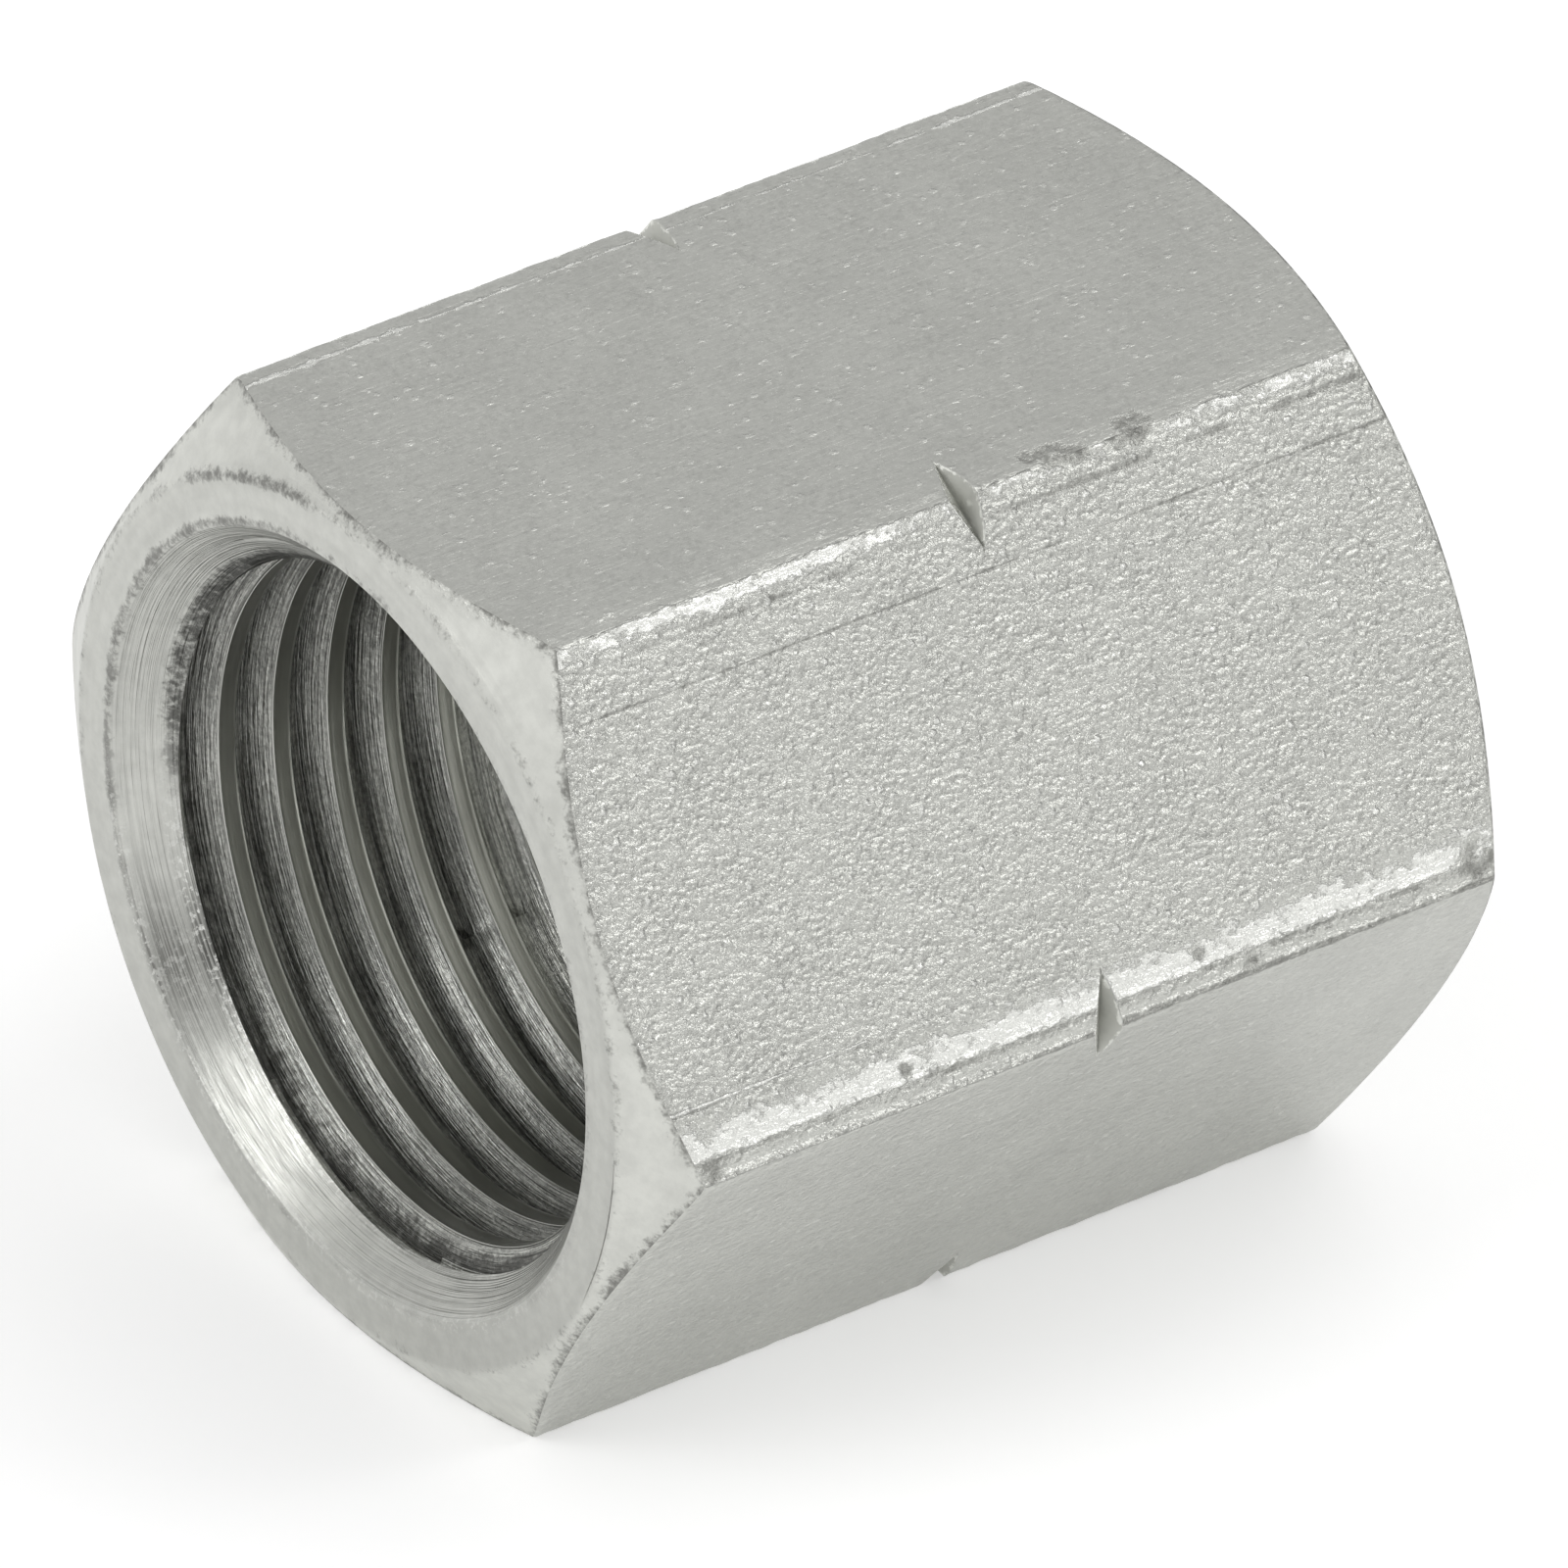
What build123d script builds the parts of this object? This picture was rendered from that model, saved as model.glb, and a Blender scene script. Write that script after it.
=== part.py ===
from build123d import *
import math
import os

# Threaded protection cap: one piece turned from hexagon bar, closed at one end and
# tapped at the other. It lies on one flat, with its axis along Y, its mouth towards -Y
# and +Z up. The origin is the middle of the flat that it rests on. Millimetres.

# Hexagon bar
ACROSS_FLATS = 22.0
LENGTH = 24.0
CORNER_RADIUS = 0.45

# Chamfers that the turned end faces run out into
FACE_DIAMETER = 21.3
CHAMFER_ANGLE = 30.0  # from the plane of the end face

# V-notches across the six corners of the hexagon
NOTCH_COUNT = 6
NOTCH_POSITION = 12.3  # from the mouth
NOTCH_DEPTH = 0.6  # below the sharp corner
NOTCH_ANGLE = 60.0

# Blind tapped hole, M18 x 1.5, right-hand. The thread's crests are the wall of the drilled
# hole, and its groove is an eighth of the pitch wide at the bottom.
THREAD_DIAMETER = 18.0
THREAD_PITCH = 1.5
THREAD_ANGLE = 60.0
THREAD_LENGTH = 9.5  # from the mouth to where the groove ends
THREAD_LEAD_IN = 0.93  # the groove starts this far in front of the mouth, over the top
BORE_DEPTH = 15.5  # from the mouth to the start of the drill point
DRILL_POINT_ANGLE = 118.0
COUNTERSINK_MARGIN = 0.5  # of the countersink at the mouth, round the thread
COUNTERSINK_ANGLE = 90.0
LIP_RADIUS = 0.15

# Axis of the cap, and two planes set out from the centre of the mouth. In MOUTH, local Z
# is the depth into the cap. In SECTION, local X is the radius and local Y is the depth.
AXIS_HEIGHT = ACROSS_FLATS / 2
MOUTH_CENTRE = Vector(0, -LENGTH / 2, AXIS_HEIGHT)
CAP_AXIS = Axis(MOUTH_CENTRE, (0, 1, 0))
MOUTH = Plane(origin=MOUTH_CENTRE, x_dir=(1, 0, 0), z_dir=(0, 1, 0))
SECTION = Plane(origin=MOUTH_CENTRE, x_dir=(1, 0, 0), z_dir=(0, 0, 1))

corner_distance = ACROSS_FLATS / math.sqrt(3)  # axis to sharp corner
face_radius = FACE_DIAMETER / 2
chamfer_drop = (corner_distance - face_radius) * math.tan(math.radians(CHAMFER_ANGLE))

bore_radius = (THREAD_DIAMETER - THREAD_PITCH) / 2  # the usual tapping drill
thread_depth = THREAD_DIAMETER / 2 - bore_radius
thread_flank = math.tan(math.radians(THREAD_ANGLE / 2))  # half width gained per unit of depth
groove_bottom = THREAD_PITCH / 16  # half width of the groove at the thread's outer diameter
cutter_back = thread_depth / 8  # the cutter reaches this far inside the hole's wall
groove_top = groove_bottom + (thread_depth + cutter_back) * thread_flank
helix_start = MOUTH_CENTRE - Vector(0, THREAD_LEAD_IN, 0)

countersink_radius = THREAD_DIAMETER / 2 + COUNTERSINK_MARGIN
countersink_apex = countersink_radius / math.tan(math.radians(COUNTERSINK_ANGLE / 2))
drill_point_depth = BORE_DEPTH + bore_radius / math.tan(math.radians(DRILL_POINT_ANGLE / 2))

# The notch cutter is a triangle that is taller than the notch, so that its mouth stands
# clear of the corner, and is run across the corner.
notch_root = corner_distance - NOTCH_DEPTH
notch_top = corner_distance + NOTCH_DEPTH
notch_half_width = 2 * NOTCH_DEPTH * math.tan(math.radians(NOTCH_ANGLE / 2))
notch_half_run = 2 * notch_half_width + 2 * NOTCH_DEPTH * math.sqrt(3)


def corner_plane(index):
    """Plane through the axis and one corner: local X is the radius, local Y the depth."""
    angle = math.radians(360 / NOTCH_COUNT * index)
    outward = Vector(math.cos(angle), 0, math.sin(angle))
    return Plane(origin=MOUTH_CENTRE, x_dir=outward, z_dir=outward.cross(Vector(0, 1, 0)))


os.makedirs("parts", exist_ok=True)

with BuildPart() as cap_body:
    # Hexagon bar with rolled corners
    with BuildSketch(MOUTH):
        RegularPolygon(radius=ACROSS_FLATS / 2, side_count=6, major_radius=False)
    extrude(amount=LENGTH)
    fillet(cap_body.edges().filter_by(Axis.Y), radius=CORNER_RADIUS)

    # Both ends turned to a cone that cuts the corners back to the end faces
    with BuildSketch(SECTION):
        with BuildLine():
            Polyline(
                (0, 0),
                (face_radius, 0),
                (corner_distance, chamfer_drop),
                (corner_distance, LENGTH - chamfer_drop),
                (face_radius, LENGTH),
                (0, LENGTH),
                close=True,
            )
        make_face()
    revolve(axis=CAP_AXIS, mode=Mode.INTERSECT)

    # One notch across each corner
    with BuildSketch(*[corner_plane(index) for index in range(NOTCH_COUNT)]):
        with BuildLine():
            Polyline(
                (notch_root, NOTCH_POSITION),
                (notch_top, NOTCH_POSITION - notch_half_width),
                (notch_top, NOTCH_POSITION + notch_half_width),
                close=True,
            )
        make_face()
    extrude(amount=notch_half_run, both=True, mode=Mode.SUBTRACT)

    # Blind hole with its drill point
    with BuildSketch(SECTION):
        with BuildLine():
            Polyline(
                (0, 0),
                (bore_radius, 0),
                (bore_radius, BORE_DEPTH),
                (0, drill_point_depth),
                close=True,
            )
        make_face()
    revolve(axis=CAP_AXIS, mode=Mode.SUBTRACT)

    # Thread, cut along a helix that starts in front of the mouth. In the cutter's sketch,
    # local X is the radius beyond the hole's wall and local Y runs along the axis.
    with BuildLine() as thread_path:
        Helix(
            pitch=THREAD_PITCH,
            height=THREAD_LEAD_IN + THREAD_LENGTH,
            radius=bore_radius,
            center=helix_start,
            direction=(0, 1, 0),
        )
    cutter_origin = helix_start + Vector(0, 0, bore_radius)
    with BuildSketch(Plane(origin=cutter_origin, x_dir=(0, 0, 1), z_dir=thread_path.line % 0)):
        with BuildLine():
            Polyline(
                (-cutter_back, -groove_top),
                (thread_depth, -groove_bottom),
                (thread_depth, groove_bottom),
                (-cutter_back, groove_top),
                close=True,
            )
        make_face()
    sweep(path=thread_path.line, is_frenet=True, mode=Mode.SUBTRACT)

    # Countersink, turned over the thread's first turn
    with BuildSketch(SECTION):
        with BuildLine():
            Polyline((0, 0), (countersink_radius, 0), (0, countersink_apex), close=True)
        make_face()
    revolve(axis=CAP_AXIS, mode=Mode.SUBTRACT)

    # Broken edge of the lip, between the mouth's land and the countersink
    mouth_edges = cap_body.edges().filter_by(GeomType.CIRCLE).group_by(Axis.Y)[0]
    fillet(mouth_edges.sort_by(SortBy.RADIUS)[0], radius=LIP_RADIUS)

cap_body.part.label = "cap_body"
export_step(cap_body.part, "parts/cap_body.step")
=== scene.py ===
import math

import bmesh
import bpy
import numpy as np
from mathutils import Matrix, Vector, noise


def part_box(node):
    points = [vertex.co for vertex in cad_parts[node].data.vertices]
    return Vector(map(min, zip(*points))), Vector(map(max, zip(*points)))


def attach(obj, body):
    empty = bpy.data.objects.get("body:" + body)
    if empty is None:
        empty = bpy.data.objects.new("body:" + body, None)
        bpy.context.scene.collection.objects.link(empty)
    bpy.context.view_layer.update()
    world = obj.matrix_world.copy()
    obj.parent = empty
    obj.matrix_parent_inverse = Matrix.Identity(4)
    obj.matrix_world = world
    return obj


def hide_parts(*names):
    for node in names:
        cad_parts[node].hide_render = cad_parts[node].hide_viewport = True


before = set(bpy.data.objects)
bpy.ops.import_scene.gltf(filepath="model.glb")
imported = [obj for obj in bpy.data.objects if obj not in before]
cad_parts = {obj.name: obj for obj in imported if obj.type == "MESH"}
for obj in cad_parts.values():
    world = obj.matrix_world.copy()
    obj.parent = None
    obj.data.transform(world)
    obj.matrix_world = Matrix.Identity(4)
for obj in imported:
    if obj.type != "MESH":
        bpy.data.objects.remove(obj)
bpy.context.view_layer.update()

# --- Camera --------------------------------------------------------------------------
# A long lens from the front right, above the part, looking down into the mouth. The
# part's axis runs away to the back, and the camera leans a little to one side.

MM = 0.001
CAMERA_AZIMUTH = math.radians(53.71)  # from the mouth's axis towards +X
CAMERA_ELEVATION = math.radians(35.61)
CAMERA_LEAN = math.radians(2.06)
CAMERA_DISTANCE = 799.9 * MM
CAMERA_LENS = 809.8
SENSOR_WIDTH = 36
AIM_RIGHT = 0.075 * MM
AIM_UP = -0.625 * MM

low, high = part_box("cap_body")
middle = (low + high) / 2
back = Vector(
    (
        math.sin(CAMERA_AZIMUTH) * math.cos(CAMERA_ELEVATION),
        -math.cos(CAMERA_AZIMUTH) * math.cos(CAMERA_ELEVATION),
        math.sin(CAMERA_ELEVATION),
    )
)
level_right = Vector((0, 0, 1)).cross(back).normalized()
right = Matrix.Rotation(CAMERA_LEAN, 3, back) @ level_right
up = back.cross(right)

camera = bpy.data.objects.new("camera", bpy.data.cameras.new("camera"))
camera.data.lens = CAMERA_LENS
camera.data.sensor_width = SENSOR_WIDTH
camera.data.clip_start = 0.05
camera.data.clip_end = 20
camera.matrix_world = Matrix.Translation(
    middle + right * AIM_RIGHT + up * AIM_UP + back * CAMERA_DISTANCE
) @ Matrix((right, up, back)).transposed().to_4x4()
bpy.context.scene.collection.objects.link(camera)
bpy.context.scene.camera = camera

# --- The cap: its shape --------------------------------------------------------------
# One piece of cold-drawn hexagon bar, turned and tapped from the mouth, with a closed far
# end. It is built as one closed skin in millimetres: an inner grid of columns for the
# bore, thread and mouth, and an outer grid for the turned ends, flats and corners.

ACROSS_FLATS = (high.z - low.z) / MM
LENGTH = (high.y - low.y) / MM
APOTHEM = ACROSS_FLATS / 2
CORNER_DISTANCE = APOTHEM / math.cos(math.radians(30))
HALF_FLAT = APOTHEM * math.tan(math.radians(30))

FACE_RADIUS = 10.65  # where the end face meets its chamfer
CHAMFER_SLOPE = math.tan(math.radians(30))
EDGE_BREAK = 0.05
CORNER_REACH = (high.x - low.x) / 2 / MM - 0.004  # the bar's corners are rolled off here
SKIN = 0.014  # the flats lie this far inside the bar's nominal size, under their burrs

NOTCH_POSITION = 12.3
NOTCH_DEPTH = 0.7  # below the sharp corner
NOTCH_NEAR_SLOPE = math.tan(math.radians(41))  # run along the axis per unit of depth
NOTCH_FAR_OPENING = 0.24  # the far wall's edge bows out towards this
NOTCH_BURR = 0.02
BURR_WIDTH = 0.06

BORE_RADIUS = 8.25
BORE_DEPTH = 15.5
DRILL_POINT_RISE = BORE_RADIUS / math.tan(math.radians(59))
MOUTH_RADIUS = 9.5
MOUTH_WEAR = 0.02  # the countersink is worn back by this, more or less
LIP_RADIUS = 0.09

PITCH = 1.5
THREAD_MAJOR = 9.0
GROOVE_DEPTH = THREAD_MAJOR - BORE_RADIUS
FLANK_RUN = GROOVE_DEPTH / math.tan(math.radians(60))
CREST_WIDTH = 0.447

# One pitch of the thread: distance past the crest's near edge, and depth of the groove.
# Both edges of the crest are raised a little into the bore.
THREAD_SECTION = (
    (0, 0),
    (0.03, -0.004),
    (0.1, 0),
    (CREST_WIDTH - 0.1, 0),
    (CREST_WIDTH - 0.03, -0.012),
    (CREST_WIDTH, 0),
    (CREST_WIDTH + FLANK_RUN, GROOVE_DEPTH),
    (PITCH - FLANK_RUN, GROOVE_DEPTH),
    (PITCH, 0),
)

THREAD_PHASE_ANGLE = 182.9  # where the crest's near edge lies at THREAD_PHASE_DEPTH
THREAD_PHASE_DEPTH = 2.207
LEAD_START = 7.6  # where the tap's tapered lead begins to cut less
LEAD_END = 10.1
THREAD_TOP = 0.45  # the inner grid follows the helix between these two depths
THREAD_BOTTOM = 10.5
TAP_STOP_ANGLE = 230.0  # the tap was stopped here, and left a small ridge across the groove
TAP_STOP_WIDTH = 0.9
TAP_STOP_HEIGHT = 0.16
TAP_STOP_START = 6.6
TAP_STOP_END = 9.5
TAP_STOP_FADE = 0.4  # at both of its ends

# Section of each worn corner: pairs of distance along the flats from the sharp corner,
# clockwise flat negative, and drop below the flat. Corner 0 lies towards +X and they
# go round towards +Z. The shallow dips well out on the flats are lines left by the die.
CORNER_SECTIONS = (
    (
        (-0.3, 0),
        (-0.06, 0.03),
        (0.08, 0.05),
        (0.35, 0.042),
        (0.56, 0.02),
        (1.2, 0),
        (1.74, 0),
        (1.82, 0.003),
        (1.9, 0),
    ),
    (
        (-1.9, 0),
        (-1.82, 0.002),
        (-1.74, 0),
        (-0.9, 0),
        (-0.7, 0.016),
        (-0.36, 0.024),
        (-0.05, 0.055),
        (0.1, 0.03),
        (0.5, 0),
    ),
    ((-0.6, 0), (-0.5, 0.012), (-0.42, 0), (-0.2, 0), (0, 0.035), (0.15, 0)),
    ((-0.7, 0), (-0.3, 0.05), (-0.2, 0.035), (0, 0.09), (0.22, 0)),
    ((-0.24, 0), (0, 0.08), (0.2, 0.05), (0.28, 0.06), (0.8, 0)),
    ((-0.9, 0), (-0.4, 0.03), (-0.32, 0.045), (-0.25, 0.03), (0, 0.04), (0.2, 0)),
)
CORNER_SWAY = 0.12  # share by which the worn sections widen and narrow along the bar
CORNER_CHANGE = 0.3  # share by which they deepen and grow shallow
CORNER_LUMPS = 0.02
CORNER_LUMPS_WIDTH = 0.7
FLAT_WAVES = 0.004


def ripple(x, y, z):
    """Smooth repeatable unevenness, about -1 to 1, for arrays of places."""
    places = np.broadcast_arrays(x, y, z)
    flat = (p.ravel() for p in places)
    values = [noise.noise((a, b, c)) for a, b, c in zip(*flat)]
    return np.array(values).reshape(places[0].shape)


def past_corner(angle):
    """Turn from the nearest corner to each angle, in radians."""
    return np.radians(angle - 60 * np.round(angle / 60))


def nearest_corner(angle):
    """Each angle's corner number, and its distance along the flats from that corner."""
    past = past_corner(angle)
    along = HALF_FLAT - APOTHEM * np.tan(math.radians(30) - np.abs(past))
    return np.round(angle / 60).astype(int) % 6, np.sign(past) * along


def bar_radius(angle, depth):
    """Radius of the drawn bar's worn outside, without its notches."""
    corner, offset = nearest_corner(angle)
    drop = np.zeros(np.shape(angle))
    sway = 1 + CORNER_SWAY * ripple(corner * 7.3, depth * 1.1, 0.5)
    for number, section in enumerate(CORNER_SECTIONS):
        distances, drops = zip(*section)
        wear_and_shade = np.interp(offset * sway, distances, drops)
        drop = np.where(corner == number, wear_and_shade, drop)
    wear = 1 + CORNER_CHANGE * ripple(depth * 1.4, corner * 3.1, 2.0)
    lumps = CORNER_LUMPS * np.exp(-((offset / CORNER_LUMPS_WIDTH) ** 2))
    drop = drop * wear + lumps * (1 + ripple(offset * 3.2, depth * 2.6, corner + 0.3))
    turn = np.radians(angle)
    drop = drop + FLAT_WAVES * (1 + ripple(np.cos(turn) * 6, np.sin(turn) * 6, depth * 0.35))
    return (APOTHEM - SKIN - drop) / np.cos(math.radians(30) - np.abs(past_corner(angle)))


def notch_reach(angle, side):
    """How far the notch opens along the axis, on the mouth's side (-1) or the far side (1).

    The near wall is flat. The far wall's edge bows out, and dips a little at the ridge.
    """
    reach = np.zeros(np.shape(angle))
    for _ in range(5):
        surface = bar_radius(angle, NOTCH_POSITION + side * reach) * np.cos(past_corner(angle))
        deep = np.maximum(surface - CORNER_DISTANCE + NOTCH_DEPTH, 0)
        share = deep / NOTCH_DEPTH
        bowed = NOTCH_FAR_OPENING * share * (2 - share) * (1 - 0.3 * share**6)
        reach = deep * NOTCH_NEAR_SLOPE if side < 0 else bowed
    return reach


def outer_radius(angle, depth, reach):
    """Radius of the notched outside, with the burr that the cut threw up on its far edge."""
    across = np.abs(depth - NOTCH_POSITION)
    burr = NOTCH_BURR * np.exp(-(((across - reach) / BURR_WIDTH) ** 2)) * (reach > BURR_WIDTH)
    surface = np.minimum(bar_radius(angle, depth) + burr * (depth > NOTCH_POSITION), CORNER_REACH)
    share = across / np.maximum(reach, 1e-6)
    root = (CORNER_DISTANCE - NOTCH_DEPTH) / np.cos(past_corner(angle))
    deep = np.maximum(surface - root, 0)
    return np.where(share < 1, surface - deep * (1 - share), surface)


def helix_place(angle, depth):
    """Distance along the axis past the near edge of the crest, 0 to one pitch."""
    return (depth - THREAD_PHASE_DEPTH + PITCH * (angle - THREAD_PHASE_ANGLE) / 360) % PITCH


def bore_radius(angle, depth):
    """Radius of the tapped bore's wall, countersunk at the mouth."""
    thread = BORE_RADIUS + np.interp(helix_place(angle, depth), *zip(*THREAD_SECTION))
    lead = np.interp(depth, (LEAD_START, LEAD_END), (THREAD_MAJOR, BORE_RADIUS))
    thread = np.minimum(thread, np.maximum(lead, BORE_RADIUS))
    stop = np.exp(-(((angle - TAP_STOP_ANGLE) / TAP_STOP_WIDTH) ** 2))
    stop = stop * np.clip((depth - TAP_STOP_START) / TAP_STOP_FADE, 0, 1)
    stop = stop * np.clip((TAP_STOP_END - depth) / TAP_STOP_FADE, 0, 1)
    thread = thread - TAP_STOP_HEIGHT * stop * (thread - BORE_RADIUS) / GROOVE_DEPTH
    turn = np.radians(angle)
    uneven = 1 + 0.5 * ripple(np.cos(turn) * 9, np.sin(turn) * 9, depth * 3)
    countersink = MOUTH_RADIUS - depth - MOUTH_WEAR * uneven
    return np.maximum(thread, countersink)


# Inner columns are even. Outer columns crowd about the corners, at these distances along
# the flats from each.
INNER_COLUMNS = 360
CORNER_STEPS = (0, 0.05, 0.1, 0.18, 0.26, 0.35, 0.44, 0.52, 0.6, 0.7, 0.82, 1.0, 1.15, 1.3)
DIE_LINE_STEPS = (1.45, 1.66, 1.74, 1.82, 1.9)
FLAT_STEP = 0.7

inner_angles = np.arange(INNER_COLUMNS) * 360 / INNER_COLUMNS
flat_steps = np.arange(DIE_LINE_STEPS[-1] + FLAT_STEP, HALF_FLAT - FLAT_STEP / 4, FLAT_STEP)
half_side = np.concatenate((CORNER_STEPS, DIE_LINE_STEPS, flat_steps))
half_turns = 30 - np.degrees(np.arctan((HALF_FLAT - half_side) / APOTHEM))
one_corner = np.concatenate((-half_turns[:0:-1], half_turns))
outer_angles = np.concatenate([60 * corner + one_corner for corner in range(6)])
outer_angles.sort()

points, faces, finishes = [], [], []
DRAWN, TURNED, TAPPED = range(3)


def add_ring(angles, radii, depths):
    """Adds one ring of points about the axis and returns their numbers."""
    start = len(points)
    spin = np.radians(angles)
    radii = np.broadcast_to(radii, spin.shape)
    depths = np.broadcast_to(depths, spin.shape)
    points.extend(zip(radii * np.cos(spin), depths - LENGTH / 2, APOTHEM + radii * np.sin(spin)))
    return np.arange(start, len(points))


def add_band(first, second, finish):
    """Joins two rings of as many points with four-sided faces."""
    for i in range(len(first)):
        j = (i + 1) % len(first)
        faces.append((first[i], first[j], second[j], second[i]))
        finishes.append(finish)


def add_inner_rings(ring, profile, finish):
    """Carries the inner grid on through pairs of radius and depth, to the last ring."""
    for radius, depth in profile:
        above = add_ring(inner_angles, radius, depth)
        add_band(above, ring, finish)
        ring = above
    return ring


def add_outer_rings(ring, profile, finish):
    """Carries the outer grid on through pairs of radius and depth, to the last ring."""
    for radius, depth in profile:
        below = add_ring(outer_angles, radius, depth)
        add_band(ring, below, finish)
        ring = below
    return ring


def close_ring(ring, depth, finish):
    """Closes a ring with a fan about one point on the axis."""
    centre = len(points)
    points.append((0, depth - LENGTH / 2, APOTHEM))
    for i in range(len(ring)):
        faces.append((ring[i], ring[(i + 1) % len(ring)], centre))
        finishes.append(finish)


def join_rings(first, first_angles, second, second_angles, finish):
    """Joins two rings with different columns by a belt of triangles."""
    i = j = 0
    while i < len(first) or j < len(second):
        a, b = first[i % len(first)], second[j % len(second)]
        next_i, next_j = (i + 1) % len(first), (j + 1) % len(second)
        angle_i = first_angles[next_i] + 360 * ((i + 1) // len(first))
        angle_j = second_angles[next_j] + 360 * ((j + 1) // len(second))
        if j >= len(second) or (i < len(first) and angle_i <= angle_j):
            faces.append((a, b, first[next_i]))
            i += 1
        else:
            faces.append((a, b, second[next_j]))
            j += 1
        finishes.append(finish)


# Drill point and plain bore, from the bottom up
DRILL_POINT_SHARES = (0.1, 0.35, 0.65, 0.9, 1.0)  # of the bore's radius
PLAIN_RINGS = 6
drill_point = [
    (share * BORE_RADIUS, BORE_DEPTH + DRILL_POINT_RISE * (1 - share))
    for share in DRILL_POINT_SHARES
]
ring = add_ring(inner_angles, *drill_point[0])
close_ring(ring[::-1], BORE_DEPTH + DRILL_POINT_RISE, TAPPED)
ring = add_inner_rings(ring, drill_point[1:], TAPPED)
plain_depths = np.linspace(BORE_DEPTH - 0.1, THREAD_BOTTOM, PLAIN_RINGS)
ring = add_inner_rings(ring, [(BORE_RADIUS, depth) for depth in plain_depths], TAPPED)

# Thread: rows that climb with the helix and lie still where they reach either end. Each is
# open where the helix comes round, so it has one point more than the grid has columns.
SECTION_PLACES = tuple(place for place, _ in THREAD_SECTION[:-1])
FLANK_AND_ROOT_PLACES = (0.53, 0.66, 0.79, 0.97, 1.16, 1.26, 1.36, 1.45)
row_depths = [
    THREAD_PHASE_DEPTH + PITCH * THREAD_PHASE_ANGLE / 360 + PITCH * turn + place
    for turn in range(-2, math.ceil(THREAD_BOTTOM / PITCH) + 2)
    for place in SECTION_PLACES + FLANK_AND_ROOT_PLACES
]
row_depths = sorted(d for d in row_depths if THREAD_TOP - PITCH < d < THREAD_BOTTOM + 2 * PITCH)
helix_angles = np.append(inner_angles, 360.0)
ring = np.append(ring, ring[0])
for row in reversed(row_depths):
    depths = np.clip(row - PITCH * helix_angles / 360, THREAD_TOP, THREAD_BOTTOM)
    above = add_ring(helix_angles, bore_radius(helix_angles, depths), depths)
    for i in range(INNER_COLUMNS):
        faces.append((above[i], above[i + 1], ring[i + 1], ring[i]))
        finishes.append(TAPPED)
    ring = above
ring = ring[:-1]

# Countersink, rounded lip and land
COUNTERSINK_DEPTHS = (0.36, 0.28, 0.2, 0.13)
LIP_TURNS = (60, 75, 90)  # from the axis, in degrees
LAND_RINGS = 8
FACE_MARGIN = 0.04  # the rings at both sides of the face's edge lie this far from it
countersink = [
    (bore_radius(inner_angles, np.full(INNER_COLUMNS, depth)), depth)
    for depth in COUNTERSINK_DEPTHS
]
ring = add_inner_rings(ring, countersink, TURNED)
lip_start = MOUTH_RADIUS - MOUTH_WEAR
lip = [
    (
        lip_start + LIP_RADIUS * (math.tan(math.radians(22.5)) - math.cos(math.radians(turn))),
        LIP_RADIUS * (1 - math.sin(math.radians(turn))),
    )
    for turn in LIP_TURNS
]
ring = add_inner_rings(ring, lip, TURNED)
land_radii = np.linspace(MOUTH_RADIUS + 0.12, FACE_RADIUS - FACE_MARGIN, LAND_RINGS)
mouth_ring = add_inner_rings(ring, [(radius, 0) for radius in land_radii], TURNED)


def end_profile(angles, from_back):
    """Depth of the chamfer's outer edge at each angle, measured from its own end."""
    depth = np.full(angles.shape, 0.5)
    for _ in range(6):
        place = LENGTH - depth if from_back else depth
        depth = (bar_radius(angles, place) - FACE_RADIUS) * CHAMFER_SLOPE
    return depth


# Chamfer at the mouth. The last of its rings stops short of the edge, which is broken.
CHAMFER_RINGS = 9
EDGE_SHARE = 0.4  # of the broken edge that lies on the chamfer
front_edge = end_profile(outer_angles, False)
ring = add_ring(outer_angles, FACE_RADIUS + FACE_MARGIN, FACE_MARGIN * CHAMFER_SLOPE)
join_rings(mouth_ring, inner_angles, ring, outer_angles, TURNED)
chamfer = [front_edge * share for share in np.linspace(0.12, 1, CHAMFER_RINGS)]
chamfer[-1] = chamfer[-1] - EDGE_BREAK * EDGE_SHARE
chamfer = [(FACE_RADIUS + depth / CHAMFER_SLOPE, depth) for depth in chamfer]
ring = add_outer_rings(ring, chamfer, TURNED)

# Flats, corners and notches
FRONT_ROWS = 62
BACK_ROWS = 60
NOTCH_ROOM = 0.16  # the even rows stop this far short of the notches
ROW_GAP = 0.05  # least distance between the rows at the notches
NEAR_WALL_SHARES = (0.4, 0.75, 1)
FAR_WALL_SHARES = (0.6, 0.28, 0.08, 0)
back_edge = LENGTH - end_profile(outer_angles, True)
near_reach, far_reach = (notch_reach(outer_angles, side) for side in (-1, 1))
near_side = NOTCH_POSITION - np.maximum(near_reach, ROW_GAP)
far_side = NOTCH_POSITION + np.maximum(far_reach, ROW_GAP)
front_start = front_edge + EDGE_BREAK
back_end = back_edge - EDGE_BREAK
front_run = near_side - NOTCH_ROOM - front_start
back_run = back_end - far_side - NOTCH_ROOM
rows = [front_start + front_run * share for share in np.linspace(0, 1, FRONT_ROWS)]
rows += [near_side - ROW_GAP, near_side]
rows += [near_side + (NOTCH_POSITION - near_side) * share for share in NEAR_WALL_SHARES]
rows += [far_side - (far_side - NOTCH_POSITION) * share for share in FAR_WALL_SHARES]
rows += [far_side + ROW_GAP]
rows += [far_side + NOTCH_ROOM + back_run * share for share in np.linspace(0, 1, BACK_ROWS)]
reaches = [np.where(depth < NOTCH_POSITION, near_reach, far_reach) for depth in rows]
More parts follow.
